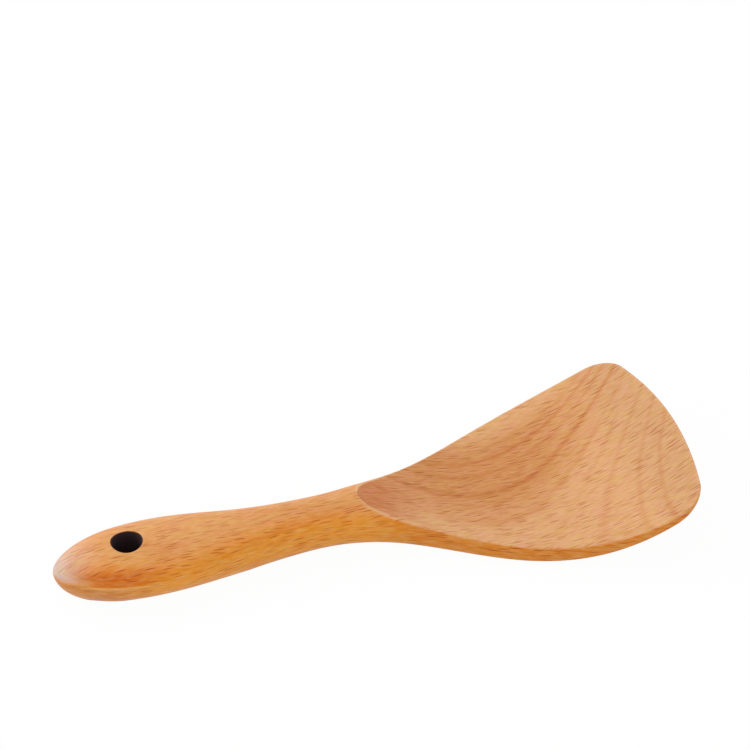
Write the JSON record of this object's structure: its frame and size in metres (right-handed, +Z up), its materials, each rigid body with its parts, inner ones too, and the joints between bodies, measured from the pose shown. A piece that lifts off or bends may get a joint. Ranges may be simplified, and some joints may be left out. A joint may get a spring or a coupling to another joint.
{
  "type": "wooden spoon",
  "caption": "Flat wooden spoon of the rice paddle kind: rounded handle with a hanging hole, slim neck and a broad, shallow hollowed blade that curves up to a thin end.",
  "frame": {"origin": "on the surface that the spoon lies on, under the middle of its length and width", "axes": "+X from the butt of the handle to the end of the blade, +Z up from the sole to the hollowed face, +Y to the left when looking along +X"},
  "size_m": [0.19, 0.075, 0.0221],
  "materials": {
    "beech": "satin, lightly oiled beech with fine ray flecks"
  },
  "bodies": {
    "root": {"handle": "beech", "blade": "beech"}
  },
  "joints": []
}
